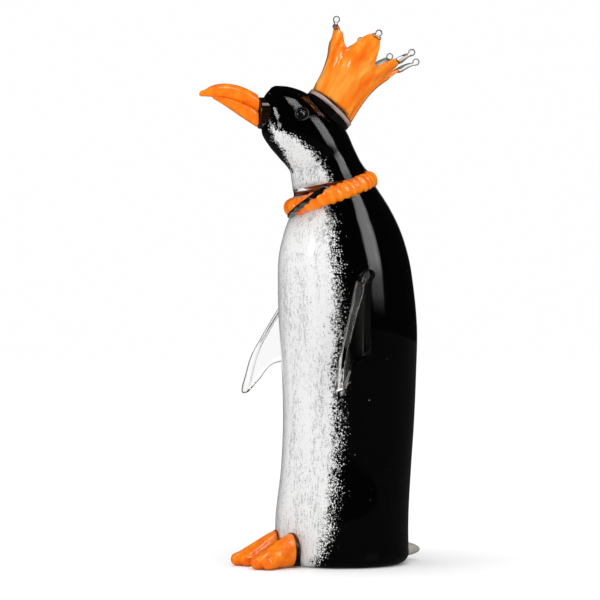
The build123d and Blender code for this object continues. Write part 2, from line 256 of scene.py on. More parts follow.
# %% Floor
mirror_near, mirror_far, mirror_strength = 0.05, 0.17, 0.14
floor_glow, glow_under_glass = 0.035, 0.35
bpy.ops.object.select_all(action="DESELECT")
bpy.ops.mesh.primitive_grid_add(x_subdivisions=4, y_subdivisions=4, size=9.0, location=(0, 0, 0))
floor = bpy.context.object
floor.name = "Floor"
acrylic, tree, surface = new_material("Floor_acrylic", {
    "Roughness": 1.0, "Specular IOR Level": 0.0, "Coat Roughness": 0.04, "Emission Color": (1, 1, 1, 1)})
spot = new_node(tree, "ShaderNodeTexCoord", (-900, -200)).outputs["Object"]
reach = new_node(tree, "ShaderNodeVectorMath", (-700, -200), {0: spot}, operation="LENGTH").outputs["Value"]
ray = new_node(tree, "ShaderNodeLightPath", (-700, 200)).outputs
under = number(tree, "GREATER_THAN", (-500, 400), ray["Diffuse Depth"], 0.5)
under = number(tree, "MULTIPLY", (-350, 400), under, ray["Is Transmission Ray"])
mirrored = number(
    tree, "SUBTRACT", (-500, 250), ray["Is Glossy Ray"], ray["Is Transmission Ray"], clamp=True)
set_inputs(surface, {
    "Coat Weight": fade(tree, (-500, -200), reach, mirror_near, mirror_far, mirror_strength, 0.0),
    "Emission Strength": number(tree, "MULTIPLY_ADD", (-200, 400), under, glow_under_glass, floor_glow),
    "Base Color": mixed(tree, (-300, 200), mirrored, (0.985, 0.985, 0.985), (0.008, 0.008, 0.008))})
floor.data.materials.append(acrylic)
print("floor laid")

# %% [markdown]
# ## Glass and enamel colours
# Four glasses are used: black, white crushed glass (frit), orange, and clear. The clear gather is
# true glass, with light bending through it. What lies under it needs no gloss of its own, because
# glass touches glass there. The frit isn't painted white: it is a cloud of grains that gets thin
# towards its edge, so one group works out how much of it lies at each place, and both the black
# core and the white layer read the same group. Then no hard seam shows between them.

# %% Frit cover, shared by the torso and the head
border_wander, border_shift = 7.0, -5.8
cell_scale, cell_bend, crumb_scale, white_sharpness = 850, 0.0016, 620, 24.0
core_black, frit_grey, frit_white = (0.0007, 0.0007, 0.0008), (0.42, 0.425, 0.44), (0.97, 0.97, 0.965)


def build_frit_group():
    """Inputs: a place, how far inside the edge of the white it lies and half the width of that
    edge, both in mm. Output: a colour."""
    group = bpy.data.node_groups.new("Frit_cover", "ShaderNodeTree")
    for name, way, kind in (("Vector", "INPUT", "Vector"), ("Inside", "INPUT", "Float"),
                            ("Border", "INPUT", "Float"), ("Color", "OUTPUT", "Color")):
        group.interface.new_socket(name, in_out=way, socket_type="NodeSocket" + kind)
    place, inside, border = new_node(group, "NodeGroupInput", (-1400, 0)).outputs[:3]
    wander = grain(group, (-1100, 500), place, 120)
    wander = number(group, "MULTIPLY_ADD", (-900, 500), wander, border_wander, border_shift)
    cover = new_node(group, "ShaderNodeMapRange", (-600, 500), {
        "Value": number(group, "ADD", (-750, 500), wander, inside),
        "From Min": number(group, "MULTIPLY", (-750, 350), border, -1.0), "From Max": border})
    bend = new_node(group, "ShaderNodeTexNoise", (-1300, 200), {"Vector": place, "Scale": 700, "Detail": 2})
    bent = new_node(group, "ShaderNodeVectorMath", (-1100, 200), {
        0: bend.outputs["Color"], 1: (cell_bend, cell_bend, cell_bend), 2: place}, operation="MULTIPLY_ADD")
    cells = new_node(group, "ShaderNodeTexVoronoi", (-900, 200), {
        "Vector": bent.outputs["Vector"], "Scale": cell_scale}, feature="DISTANCE_TO_EDGE")
    crumbs = grain(group, (-1100, 0), place, crumb_scale, 4.0)
    gap = number(group, "MULTIPLY_ADD", (-450, 400), cover.outputs["Result"], -0.68, 0.29)
    gap = number(group, "MULTIPLY_ADD", (-300, 400), crumbs, 0.62, gap)
    over = number(group, "SUBTRACT", (-150, 300), cells.outputs["Distance"], gap)
    white = number(group, "MULTIPLY_ADD", (0, 300), over, white_sharpness, 0.5, clamp=True)
    fine = grain(group, (-1100, -300), place, 1100, 3.0, (1, 1, 0.22))
    broad = grain(group, (-1100, -500), place, 130, 3.0, (1, 1, 0.14))
    cracks = grain(group, (-1100, -700), place, 1700, 4.0)
    grey = number(group, "MULTIPLY", (-800, -300), fine, 0.7)
    grey = number(group, "MULTIPLY_ADD", (-650, -300), broad, 0.5, grey)
    grey = number(group, "MULTIPLY_ADD", (-500, -300), cracks, 0.8, grey)
    tone = ramp(group, (-300, -300), grey, [(0.78, frit_grey), (0.97, frit_white)])
    new_node(group, "NodeGroupOutput", (250, 100), {
        0: mixed(group, (50, 100), white, core_black, tone)})
    return group


frit_cover = build_frit_group()
print("frit group has", len(frit_cover.nodes), "nodes")

# %% [markdown]
# ## Where the white front ends
# The edge of the white is an angle round the body's own axis, which sways a little, and round the
# head's, which leans. The angle is found from Object coordinates, and two small curves along the
# height give the middle of the body and the half angle of the white, as the sculptor rolled them.

# %% Measures repeated from the solids, in millimetres
torso_height, torso_radius, torso_sway, base_round = 221.3, 41.4, 4.4, 7.5
bib_half_angle, neck_bib_share, neck_forward, neck_radius = 60.0, 0.88, 5.4, 25.2
neck_lean, head_turn, seam_height, seam_waist_radius = 10.0, 15.0, 6.5, 24.2
head_radius, head_rise, head_reach, head_root_share = 22.2, 57.0, 36.1, 1.094
# Rise, sway, width and the white's half angle, each as a share of its size above.
torso_shares = [
    (0, 0, 0.966, 0.7), (0.05, -0.1, 0.965, 0.9), (0.12, -0.1, 0.964, 0.98), (0.25, 0.5, 0.943, 1),
    (0.38, 0.92, 0.95, 1), (0.51, 1, 0.972, 0.97), (0.64, 0.84, 1, 1.02), (0.737, 0.52, 0.985, 1.03),
    (0.835, 0.14, 0.934, 1.03)]
# The same with the neck's lean: rise, how far ahead, width, lean and half angle.
shoulder_shares = [(0.9, 0.1, 0.838, 0.25, 1), (0.952, 0.42, 0.722, 0.6, 0.93)]
# How far ahead, rise and width as shares, then the lean and the white's half angle in degrees.
head_shares = [
    (0, 0, head_root_share, neck_lean, 84), (0.093, 0.11, 0.986, 12, 84), (0.192, 0.251, 0.924, 20, 83),
    (0.331, 0.389, 0.981, 21.4, 80), (0.497, 0.528, 1, 23, 68), (0.667, 0.664, 0.924, 25, 45),
    (0.757, 0.77, 0.762, 25.3, 28), (0.871, 0.875, 0.575, 25, 20), (0.956, 0.948, 0.35, 25, 10),
    (1, 1, 0.07, 25, 0)]
crown_seat_lean, crown_lean, crown_forward, crown_rise, crown_joint_height = 41.7, 31.5, 1.1, 45.2, 3.5
collar_lean, collar_forward, collar_drop = 20.5, 2.4, 0.2


def shift(x, y, z):
    return Matrix.Translation((x * MM, y * MM, z * MM))


def turned(axis, degrees):
    return Matrix.Rotation(radians(degrees), 4, axis)


neck_place = shift(0, -neck_forward, torso_height) @ turned("Z", -head_turn) @ turned("X", neck_lean)
head_place = neck_place @ shift(0, 0, seam_height) @ turned("X", -neck_lean)
crown_seat = head_place @ shift(0, -crown_forward, crown_rise) @ turned("X", -crown_seat_lean)
crown_place = crown_seat @ turned("X", crown_seat_lean - crown_lean)
collar_place = (neck_place @ turned("X", -neck_lean) @ shift(0, -collar_forward, -collar_drop)
                @ turned("X", collar_lean))
print("head stands at", [round(v / MM, 1) for v in head_place.translation])

# %% Core materials
def curve_node(tree, place, value, points, low, high):
    """A Float Curve through given points, for a value that runs from low to high."""
    above = number(tree, "SUBTRACT", (place[0] - 400, place[1]), value, low)
    share = number(tree, "DIVIDE", (place[0] - 200, place[1]), above, high - low, clamp=True)
    node = new_node(tree, "ShaderNodeFloatCurve", place, {"Value": share})
    line = node.mapping.curves[0]
    line.points[0].location = points[0]
    line.points[1].location = points[-1]
    for at in points[1:-1]:
        line.points.new(*at)
    node.mapping.update()
    return node.outputs["Value"]


def core_material(name, place, low, high, middles, start, span, angles, across, border, wedge=None):
    """Black core with its cloud of frit. Curves along the height from low to high give the middle
    of the body, from start over span, and the half angle in right angles; across is mm a radian.
    A wedge is a bare stretch at the very front that opens upwards: where it starts, how high it
    takes to open, and its half width in mm."""
    shut = 12.0  # how far beyond the very front a shut wedge ends, in mm
    material, tree, surface = new_material(name, {"Roughness": 0.9, "Specular IOR Level": 0.0})
    where = object_place(tree)
    x, y, z = new_node(
        tree, "ShaderNodeSeparateXYZ", (-1800, 0), {"Vector": local_place(tree, where, place)}).outputs
    middle = curve_node(tree, (-1300, 300), z, middles, low, high)
    middle = number(tree, "MULTIPLY_ADD", (-1000, 300), middle, span, start)
    ahead = number(tree, "SUBTRACT", (-850, 300), middle, y)
    angle = number(tree, "ABSOLUTE", (-550, 200), number(tree, "ARCTAN2", (-700, 200), x, ahead))
    half = curve_node(tree, (-1300, -200), z, angles, low, high)
    half = number(tree, "MULTIPLY", (-600, -200), half, pi / 2)
    inside = number(tree, "MULTIPLY", (-200, 100), number(tree, "SUBTRACT", (-400, 100), half, angle), across)
    if wedge:
        root, opening, half_width = wedge
        near = number(tree, "SUBTRACT", (-900, -500), z, root)
        near = number(tree, "DIVIDE", (-750, -500), near, opening, clamp=True)
        beside = number(tree, "MULTIPLY_ADD", (-400, -500), near, -shut - half_width, shut)
        beside = number(tree, "MULTIPLY_ADD", (-250, -400), angle, across, beside)
        inside = number(tree, "MINIMUM", (-100, -100), inside, beside)
    cover = new_node(
        tree, "ShaderNodeGroup", (0, 100), {"Vector": where, "Inside": inside, "Border": border},
        node_tree=frit_cover)
    set_inputs(surface, {"Base Color": cover.outputs["Color"]})
    return material


low, high = -0.01 * torso_height * MM, 1.05 * torso_height * MM
middle_span = torso_sway + neck_forward
curve_rows = [(0, neck_forward, 0.7)]
curve_rows += [(rise, sway * torso_sway + neck_forward, turn) for rise, sway, wide, turn in torso_shares]
curve_rows += [(rise, (1 - ahead) * neck_forward, turn) for rise, ahead, wide, lean, turn in shoulder_shares]
middles, angles = [], []
for rise, middle, turn in curve_rows:
    share = (rise * torso_height * MM - low) / (high - low) if middles else 0
    middles.append((share, middle / middle_span))
    angles.append((share, turn * bib_half_angle / 90))
middles.append((1, 0))
angles.append((1, neck_bib_share * bib_half_angle / 90))
torso_material = core_material(
    "Torso_black_and_frit", Matrix.Identity(4), low, high, middles,
    -neck_forward * MM, middle_span * MM, angles, across=38.0, border=9.0)
print("torso middles", [(round(a, 2), round(b, 2)) for a, b in middles])

# %% [markdown]
# The head leans, so its curve is set in a leaning frame, and it gives the place of the head's
# middle from 20 mm in front to 20 mm behind. The white covers nearly half of the throat and
# narrows to a point under the bill.

# %% Head core material
leaning = head_place @ turned("X", 21.0)
head_top, head_swing = 68.0, 20.0
head_middles, head_angles = [], []
for ahead, rise, wide, lean, half in head_shares:
    spot = leaning.inverted() @ head_place @ Vector((0, -ahead * head_reach * MM, rise * head_rise * MM))
    share = min(max(spot.z / (head_top * MM), 0), 1)
    head_middles.append((share, (spot.y / MM + head_swing) / (2 * head_swing)))
    head_angles.append((share, half / 90))
head_material = core_material(
    "Head_black_and_frit", leaning, 0.0, head_top * MM, head_middles,
    -head_swing * MM, 2 * head_swing * MM, head_angles, across=20.0, border=4.5, wedge=(0.0, 30 * MM, 4.0))


def dress(names, material):
    for name in names:
        mesh = nodes[name].data
        mesh.materials.clear()
        mesh.materials.append(material)


dress(["torso_core", "belly_frit"], torso_material)
dress(["head_core", "throat_frit"], head_material)
print("cores dressed, head middles", [(round(a, 2), round(b, 2)) for a, b in head_middles])

# %% [markdown]
# Clear glass is only seen by its edges, where the eye looks through more of it and the light bends
# most. The refraction alone leaves thin bars too faint, so a painted shade darkens the outline:
# hardly over the broad gather, and nearly black round the drawn flippers and the points of the crown.

# %% Clear glass
def clear_glass(name, tint, ripple, bending, rim, rim_shade_start, rim_shade_end):
    """Glass from the furnace: clear, with the soft ripple that tools and flame leave. Towards its
    outline it darkens to the rim colour, a painted shade for the dark that bending light shows there."""
    material, tree, surface = new_material(name, {
        "Transmission Weight": 1.0, "IOR": bending, "Roughness": 0.0})
    where = object_place(tree)
    clear = mixed(tree, (-400, 200), grain(tree, (-700, 200), where, 60), tint, (1, 1, 1))
    slant = new_node(tree, "ShaderNodeLayerWeight", (-700, 450), {"Blend": 0.5}).outputs["Facing"]
    # Painted shade: the colour darkens towards the outline, where the surface turns away from view.
    painted_rim_shade = fade(tree, (-450, 450), slant, rim_shade_start, rim_shade_end)
    wave = grain(tree, (-700, -200), where, 28, 1.0, (1, 1, 0.35))
    set_inputs(surface, {
        "Base Color": mixed(tree, (-200, 300), painted_rim_shade, clear, rim), "Normal": bumped(tree, wave, 1.0, ripple)})
    return material


# The rim colours are painted shade: pale grey round the gather, nearly black round drawn glass.
casing_glass = clear_glass(
    "Clear_casing_glass", tint=(0.97, 0.98, 0.98), ripple=0.0009, bending=1.5,
    rim=(0.5, 0.5, 0.52), rim_shade_start=0.45, rim_shade_end=0.9)
drawn_glass = clear_glass(
    "Clear_drawn_glass", tint=(0.95, 0.952, 0.945), ripple=0.0004, bending=1.45,
    rim=(0.04, 0.035, 0.03), rim_shade_start=0.05, rim_shade_end=0.42)
print("clear glasses mixed")

# %% [markdown]
# The orange is dense, so little light goes through it. A gloss coat over a softer base, with a
# trace of light spread under the skin, looks like that. Pulled glass is streaked and fluted along
# the pull, so colour and bump are both drawn out along the piece's own axis.

# %% Orange glass
def orange_glass(name, place, drawn, colours, flutes=0.0011):
    """Dense orange, streaked lighter and redder, with the streaks and flutes drawn out along the
    third axis of a place."""
    material, tree, surface = new_material(name, {
        "Roughness": 0.3, "Specular IOR Level": 0.2, "Coat Weight": 1.0, "Coat Roughness": 0.015,
        "Subsurface Weight": 0.1, "Subsurface Radius": (1.0, 0.35, 0.05), "Subsurface Scale": 0.003})
    local = local_place(tree, object_place(tree), place)
    streak = grain(tree, (-700, 200), local, 190, 3.0, (1, 1, drawn))
    wave = grain(tree, (-700, -200), local, 150, 1.0, (1, 1, drawn))
    normal = bumped(tree, wave, 0.7, flutes)
    set_inputs(surface, {
        "Base Color": ramp(tree, (-450, 200), streak, list(zip((0.3, 0.5, 0.72), colours))),
        "Normal": normal, "Coat Normal": normal})
    return material


deep_orange = [(0.9, 0.14, 0.0), (0.98, 0.2, 0.0), (1.0, 0.28, 0.0)]
light_orange = [(0.88, 0.12, 0.0), (1.0, 0.2, 0.0), (1.0, 0.3, 0.01)]
# The crown's lightest streaks are partly streaked glass and partly a painted highlight, for the peach glints
# of a soft box.
peach_and_painted_highlight = [(0.9, 0.13, 0.0), (1.0, 0.23, 0.0), (1.0, 0.4, 0.06)]
orange_open = orange_glass("Orange_glass", Matrix.Identity(4), drawn=1.0, colours=deep_orange)
orange_cane = orange_glass("Orange_cane_glass", collar_place, drawn=0.4, colours=light_orange)
orange_crown = orange_glass(
    "Orange_flared_glass", crown_place, drawn=0.2, colours=peach_and_painted_highlight, flutes=0.006)
print("orange glasses mixed")

# %% [markdown]
# The black and smoky bits are smooth, with a cloud in their colour. The pad under the crown is the
# cut edge of several layers, clear, dark and pinkish, so its finish has fine lines round it.

# %% Black glass
def black_glass(name, colour, rough):
    material, tree, surface = new_material(name, {"Roughness": rough, "Coat Weight": 0.6})
    cloud = grain(tree, (-650, 100), object_place(tree), 200)
    darker = tuple(v * 0.4 for v in colour)
    set_inputs(surface, {"Base Color": mixed(tree, (-350, 100), cloud, darker, colour)})
    return material


def seat_band(name, place, low, high, dark, middle):
    """The cut edge of layered glass: fine lines across the band, dark at both of its rims."""
    material, tree, surface = new_material(name, {"Roughness": 0.12, "Coat Weight": 0.8})
    local = local_place(tree, object_place(tree), place)
    split = new_node(tree, "ShaderNodeSeparateXYZ", (-1100, -200), {"Vector": local})
    waver = grain(tree, (-900, -400), local, 90)
    height = number(tree, "MULTIPLY_ADD", (-700, -300), waver, 0.0012, split.outputs["Z"])
    height = number(tree, "SUBTRACT", (-600, -200), height, (low + 0.6) * MM)
    share = number(tree, "DIVIDE", (-500, -200), height, (high - low) * MM, clamp=True)
    band = ramp(tree, (-300, -200), share, [(0.1, dark), (0.24, middle), (0.8, middle), (0.95, dark)])
    lines = grain(tree, (-500, 300), local, 700, 2.0, (0.12, 0.12, 2.2))
    lines = ramp(tree, (-250, 300), lines, [(0.38, (0.3, 0.3, 0.3)), (0.56, (1, 1, 1))])
    set_inputs(surface, {"Base Color": mixed(tree, (0, 0), 1.0, band, lines, blend_type="MULTIPLY")})
    return material


crown_band = seat_band(
    "Joint_band_glass", crown_seat, -crown_joint_height, 0.0, dark=(0.003, 0.002, 0.002),
    middle=(0.5, 0.36, 0.33))
tail_glass = black_glass("Smoke_glass", (0.55, 0.52, 0.47), rough=0.06)
bead_black = black_glass("Black_glass_beads", (0.004, 0.004, 0.005), rough=0.05)
seat_glass = black_glass("Dark_seat_glass", (0.012, 0.005, 0.002), rough=0.05)
print("black glasses mixed")

# %% [markdown]
# ## The clear gather
# On the real figure one blob of clear glass was gathered over the decorated body and another over
# the head, and both were fused at the neck, so light passes from one into the other. It is
# modelled as one closed skin: a disc is extruded ring by ring up the body, and each ring is sized,
# shifted and tipped by given rows. A lathe alone could not lean the neck.

# %% Ring helpers
def smooth_rows(rows, steps):
    """More rows between the given ones, on a smooth line through them."""
    at = [0.0]
    for low, high in zip(rows, rows[1:]):
        at.append(at[-1] + max(sum((a - b) ** 2 for a, b in zip(low, high)) ** 0.5, 1e-6))
    spans = [after - before for before, after in zip(at, at[1:])]
    slopes = [[(b - a) / span for a, b in zip(low, high)] for low, high, span in zip(rows, rows[1:], spans)]
    lean = [slopes[0]]
    for before, after, low, high in zip(spans, spans[1:], slopes, slopes[1:]):
        lean.append([(after * p + before * q) / (before + after) for p, q in zip(low, high)])
    lean.append(slopes[-1])
    out = []
    for i, span in enumerate(spans):
        for step in range(steps):
            t = step / steps
            h = (2 * t**3 - 3 * t**2 + 1, t**3 - 2 * t**2 + t, 3 * t**2 - 2 * t**3, t**3 - t**2)
            out.append([
                h[0] * a + h[1] * span * m + h[2] * b + h[3] * span * n
                for a, b, m, n in zip(rows[i], rows[i + 1], lean[i], lean[i + 1])])
    out.append(list(rows[-1]))
    return out


def to_objects():
    bpy.ops.object.mode_set(mode="OBJECT")


def select_all():
    bpy.ops.mesh.select_all(action="SELECT")


def edit_all():
    bpy.ops.object.mode_set(mode="EDIT")
    select_all()


def move(step):
    bpy.ops.transform.translate(value=step)


def resize(scale, centre=(0, 0, 0)):
    bpy.ops.transform.resize(value=scale, center_override=centre)


def settle(piece, place):
    """Moves a piece to its place for good."""
    piece.matrix_world = place
    bpy.ops.object.transform_apply(location=True, rotation=True, scale=True)


def join(pieces, name):
    bpy.ops.object.select_all(action="DESELECT")
    for piece in pieces:
        piece.select_set(True)
    bpy.context.view_layer.objects.active = pieces[0]
    bpy.ops.object.join()
    piece = bpy.context.object
    piece.name = piece.data.name = name
    return piece


def modify(piece, kind, **settings):
    """Adds a modifier and applies it."""
    modifier = piece.modifiers.new(kind.title(), kind)
    for name, value in settings.items():
        setattr(modifier, name, value)
    bpy.ops.object.modifier_apply(modifier=modifier.name)


def start_disc(name, radius, sides):
    bpy.ops.object.select_all(action="DESELECT")
    bpy.ops.mesh.primitive_circle_add(vertices=sides, radius=radius, fill_type="NGON", location=(0, 0, 0))
    piece = bpy.context.object
    piece.name = piece.data.name = name
    edit_all()
    return piece


def tip(degrees, axis, centre=(0, 0, 0), heading=0.0):
    """Turns what is selected about an axis of a frame that is itself turned about Z.
    Without a window the operator turns the other way, so the angle is given with its sign changed."""
    if abs(degrees) > 1e-6:
        axes = [list(column) for column in Matrix.Rotation(radians(heading), 3, "Z").col]
        bpy.ops.transform.rotate(
            value=-radians(degrees), orient_axis=axis, orient_type="GLOBAL", orient_matrix=axes,
            orient_matrix_type="GLOBAL", center_override=centre)


def push(step, scale, centre):
    """Draws the selected end further out and sizes it about its new middle."""
    bpy.ops.mesh.extrude_region_move(TRANSFORM_OT_translate={"value": step})
    resize(scale, centre)


def cut_flat(place, **side):
    """Cuts a whole piece off level with a place and closes the cut."""
    select_all()
    bpy.ops.mesh.bisect(
        plane_co=place.translation, plane_no=place.to_3x3() @ Vector((0, 0, 1)), use_fill=True, **side)


def finish_piece(piece, material, names, place=None, levels=0, sharp=None):
    """Closes the modelling of a piece: smooths it, sets it in place and books it in."""
    edit_all()
    bpy.ops.mesh.remove_doubles(threshold=0.00001)
    bpy.ops.mesh.normals_make_consistent(inside=False)
    to_objects()
    if levels:
        modify(piece, "SUBSURF", levels=levels, render_levels=levels)
    if place is not None:
        settle(piece, place)
    if sharp:
        bpy.ops.object.shade_smooth_by_angle(angle=radians(sharp))
    else:
        bpy.ops.object.shade_smooth()
    piece.data.materials.clear()
    piece.data.materials.append(material)
    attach(piece, "root")
    if names:
        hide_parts(*names)
    print(piece.name, len(piece.data.polygons), "faces")
    return piece


print("helpers ready")

# %% Body skin
body_rows = []
for rise, sway, wide, turn in torso_shares:
    body_rows.append((0, sway * torso_sway, rise * torso_height, wide * torso_radius, 0))
for rise, ahead, wide, lean, turn in shoulder_shares:
    body_rows.append((0, -ahead * neck_forward, rise * torso_height, wide * torso_radius, lean * neck_lean))
body_rows.append((0, -neck_forward, torso_height, neck_radius, neck_lean))


def placed_row(place, ahead, rise, radius, lean):
    spot = place @ Vector((0, -ahead * MM, rise * MM)) / MM
    return (*spot, radius, lean)


seam_rows = [
    body_rows[-1], placed_row(neck_place, 0, seam_height / 2, seam_waist_radius, neck_lean),
    placed_row(neck_place, 0, seam_height, head_root_share * head_radius, neck_lean)]
head_rows = [
    placed_row(head_place, ahead * head_reach, rise * head_rise, wide * head_radius, lean)
    for ahead, rise, wide, lean, half in head_shares]
foot_radius = body_rows[0][3]
roll = [(0, 0, base_round * (1 - cos(radians(a))), foot_radius - base_round * (1 - sin(radians(a))), 0)
        for a in (0, 15, 30, 45, 60, 75)]
above = [row for row in smooth_rows(body_rows, 6) if row[2] > base_round]
skin_rows = roll + above[:-1] + smooth_rows(seam_rows, 3)[:-1] + smooth_rows(head_rows, 5)
turned_from = len(roll) + len(above) - 1
skin = start_disc("Clear_gather", skin_rows[0][3] * MM, 96)
for i, (before, after) in enumerate(zip(skin_rows, skin_rows[1:])):
    centre = Vector(after[:3]) * MM
    step = centre - Vector(before[:3]) * MM
    size = after[3] / before[3]
    push(step, (size, size, size), centre)
    if i + 1 == turned_from:
        tip(-before[4], "X", centre)
        tip(after[4], "X", centre, -head_turn)
    else:
        tip(after[4] - before[4], "X", centre, -head_turn if i + 1 > turned_from else 0.0)
cut_flat(crown_seat @ shift(0, 0, -crown_joint_height), clear_outer=True)
finish_piece(skin, casing_glass, ["torso_casing", "neck_joint", "head_casing"], sharp=40)
print("skin height", round(skin_rows[-1][2], 1), "mm over", len(skin_rows), "rings")

# %% [markdown]
# ## Eyes
# Each eye is a black bead pressed into the hot head, which pushed up a ring round it. The beads
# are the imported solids. A torus could stand for the ring. Here a small circle is spun round the
# bead, because the tube and the ring's radius are then two sizes that can be read and set.

# %% Eye rings
eye_side, eye_forward, eye_rise, eye_lift = 20.0, 23.2, 39.6, 18.0
ring_tube, ring_radius = 0.6, 3.95


def eye_ring(name, side):
    place = (head_place @ shift(side * eye_side, -eye_forward, eye_rise)
             @ turned("Y", side * (90 - eye_lift)))
    piece = start_disc(name, ring_tube * MM, 12)
    bpy.ops.mesh.delete(type="ONLY_FACE")
    select_all()
    tip(90, "X")
    move((ring_radius * MM, 0, 0))
    bpy.ops.mesh.spin(steps=40, angle=2 * pi, center=(0, 0, 0), axis=(0, 0, 1))
    return finish_piece(piece, bead_black, [], place, levels=1)


dress(["eye_left", "eye_right"], bead_black)
eye_ring("Eye_ring_left", 1)
eye_ring("Eye_ring_right", -1)

# %% [markdown]
# ## Bill
# Two orange bits were stuck on and pinched out to a point with pliers. Each is grown from an oval
# through a row of sections: how far out, how far up, how high and how wide. Sculpting could do it
# too, but rows can be set against the photograph one by one. The sections stay upright while they
# rise, as in the solids, and a subdivision rounds them off.

# %% Bill
bill_forward, bill_rise = 45.5, 42.0
bill_length, bill_lift, bill_high, bill_wide = 36.0, 13.2, 19.2, 14.6
bill_place = head_place @ shift(0, -bill_forward, bill_rise) @ turned("X", 90)
upper_shares = [
    (0, 0.3, 0.6, 1), (0.15, 0.56, 0.56, 0.97), (0.37, 0.79, 0.54, 0.88), (0.59, 0.9, 0.47, 0.72),
    (0.8, 0.87, 0.33, 0.5), (0.91, 0.79, 0.2, 0.27), (0.958, 0.77, 0.17, 0.23), (0.978, 0.76, 0.11, 0.15),
    (0.985, 0.76, 0.05, 0.06)]
lower_shares = [
    (0, -0.33, 0.56, 0.86), (0.15, -0.08, 0.56, 0.84), (0.35, 0.2, 0.46, 0.7), (0.57, 0.48, 0.3, 0.5),
    (0.77, 0.68, 0.15, 0.28)]


def oval_piece(name, rows, sides, flat=False):
    """Grows a form through upright ovals: side, lift, out, half width and half height, in mm.
    A flat one has straight flanks: a half circle above and one below them."""
    piece = start_disc(name, MM, sides)
    first = rows[0]
    if flat:
        resize((first[3], first[3], 1))
        for way in (1, -1):
            bpy.ops.mesh.select_all(action="DESELECT")
            to_objects()
            for vertex in piece.data.vertices:
                vertex.select = vertex.co.y * way > 0
            bpy.ops.object.mode_set(mode="EDIT")
            move((0, way * (first[4] - first[3]) * MM, 0))
        select_all()
    else:
        resize((first[3], first[4], 1))
    move([v * MM for v in first[:3]])
    for before, after in zip(rows, rows[1:]):
        centre = Vector(after[:3]) * MM
        push(centre - Vector(before[:3]) * MM, (after[3] / before[3], after[4] / before[4], 1), centre)
    return piece


def bill_bit(name, shares, node):
    rows = [
        (0, lift * bill_lift, out * bill_length, wide * bill_wide / 2, high * bill_high / 2)
        for out, lift, high, wide in shares]
    piece = oval_piece(name, smooth_rows(rows, 4), 32)
    return finish_piece(piece, orange_open, [node], bill_place, levels=1)


bill_bit("Upper_bill", upper_shares, "upper_bill")
bill_bit("Lower_bill", lower_shares, "lower_bill")
dress(["bill_joint"], seat_glass)

# %% [markdown]
# ## Collar
# A ribbed orange cane was wound round the neck. A torus could be displaced into ribs, but then
# they would neither slant nor differ. One rib is a slice of an oval that swells in its middle, so
# the ring is drawn by extruding a slanting oval step by step round the neck, four steps a rib, and
# the last section is bridged to the first.

# %% Collar
collar_radius, collar_high, collar_deep, collar_ribs = 29.4, 10.8, 9.6, 35
rib_slant, rib_swell, rib_uneven, rib_beat = 14.0, 1.5, 0.25, 2.3
rib_shares = (0, 0.8, 1, 0.8)  # how far each of a rib's steps swells


def collar_ring():
    """Draws an oval round the neck that swells at each rib, some ribs more than others."""
    steps = collar_ribs * len(rib_shares)
    middle, half_deep, half_high = collar_radius - collar_deep / 2, collar_deep / 2, collar_high / 2
    piece = start_disc("Collar_cane", MM, 20)
    resize((half_deep - rib_swell / 2, half_high - rib_swell / 2, 1))
    bpy.ops.mesh.delete(type="ONLY_FACE")
    select_all()
    tip(90 + rib_slant, "X")
    move((middle * MM, 0, 0))
    wide = 1.0
    for step in range(1, steps):
        centre = Matrix.Rotation(2 * pi * step / steps, 3, "Z") @ Vector((middle * MM, 0, 0))
        bpy.ops.mesh.extrude_edges_move()
        tip(360 / steps, "Z")
        rib, part = divmod(step, len(rib_shares))
        uneven = 1 - rib_uneven + rib_uneven * sin(rib * rib_beat)
        new_wide = 1 + rib_shares[part] * uneven * rib_swell / half_deep
        size = new_wide / wide
        resize((size, size, size), centre)
        wide = new_wide
    bpy.ops.mesh.select_all(action="DESELECT")
    bpy.ops.mesh.select_non_manifold()
    bpy.ops.mesh.bridge_edge_loops()
    finish_piece(piece, orange_cane, ["collar"], collar_place, levels=1)


collar_ring()

# %% [markdown]
# A black thread of glass was laid slantwise over the cane while both were soft, so it rides up and
# down with the ribs. It is drawn the same way as the cane, as a flat ribbon that follows its skin.

# %% Collar thread
thread_angle, thread_slope, thread_reach = 37.0, 15.0, 41.0
thread_half_thick, thread_half_wide, thread_steps = 0.9, 2.8, 24
thread_proud, thread_over, thread_tilt, most_round = 0.5, 0.2, 1.25, 0.97
rib_ride, rib_start = 0.25, 4.0  # how far the thread rides on each rib, and where a rib starts


def thread_row(way):
    """Heading round the neck, distance from its axis, height and tilt on the cane's skin."""
    heading = thread_angle - 90 + way * thread_reach
    height = way * radians(thread_reach) * collar_radius * tan(radians(thread_slope))
    half_deep, half_high = collar_deep / 2, collar_high / 2
    round_it = max(-most_round, min(most_round, height / half_high))
    level = (1 - round_it ** 2) ** 0.5
    ride = rib_ride * cos(radians((heading + rib_start) * collar_ribs))
    out = collar_radius - half_deep + (half_deep + thread_proud + ride) * level
    return heading, out, round_it * (half_high + thread_over), round_it * thread_tilt


thread_rows = [thread_row(step / thread_steps) for step in range(-thread_steps, thread_steps + 1)]
thread = start_disc("Collar_thread", MM, 14)
resize((thread_half_thick, thread_half_wide, 1))
heading, out, up, tilt = thread_rows[0]
tip(90, "X")
tip(-tilt * 180 / pi, "Y")
move((out * MM, 0, up * MM))
tip(heading, "Z")
for before, after in zip(thread_rows, thread_rows[1:]):
    heading, out, up, tilt = after
    along = Matrix.Rotation(radians(heading), 3, "Z") @ Vector((1, 0, 0))
    bpy.ops.mesh.extrude_region_move()
    tip(heading - before[0], "Z")
    move(along * (out - before[1]) * MM + Vector((0, 0, (up - before[2]) * MM)))
    centre = along * out * MM + Vector((0, 0, up * MM))
    tip((before[3] - tilt) * 180 / pi, "Y", centre, heading)
finish_piece(thread, bead_black, ["collar_thread"], collar_place, levels=1)

